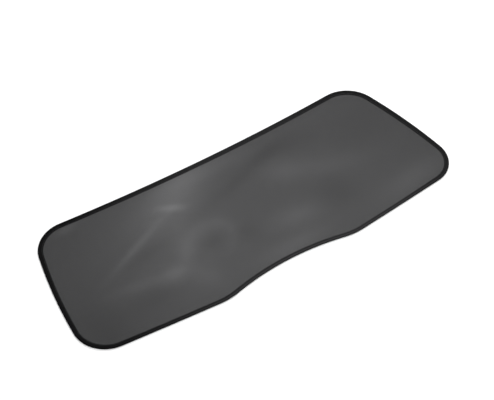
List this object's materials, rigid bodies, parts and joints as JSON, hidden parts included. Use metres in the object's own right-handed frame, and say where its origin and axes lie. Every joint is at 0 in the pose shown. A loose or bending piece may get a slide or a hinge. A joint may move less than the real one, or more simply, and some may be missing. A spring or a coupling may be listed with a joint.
{
  "type": "car side window sunshade",
  "caption": "Flat mesh sunshade panel on a spring wire ring with a folded, sewn edge binding, cut to a car window with a notched lower edge.",
  "frame": {"origin": "middle of the underside: the centre of the bounding box in X and Y, on the plane the shade lies on", "axes": "+X along the panel's length, +Y towards its long top edge (the notch is on the -Y side), +Z out of its front face"},
  "size_m": [1.0706, 0.4234, 0.0058],
  "materials": {
    "mesh_cloth": "fine see-through knitted polyester mesh, dark grey, faintly rippled",
    "spring_steel": "drawn spring wire, satin",
    "crimp_sleeve": "crimped tube, dull",
    "binding_tape": "black woven tape, fine cross ribs",
    "sewing_thread": "black polyester lockstitch thread"
  },
  "bodies": {
    "root": {"mesh_panel": "mesh_cloth", "frame_wire": "spring_steel", "wire_sleeve": "crimp_sleeve", "edge_binding": "binding_tape", "needle_thread": "sewing_thread", "bobbin_thread": "sewing_thread"}
  },
  "joints": []
}
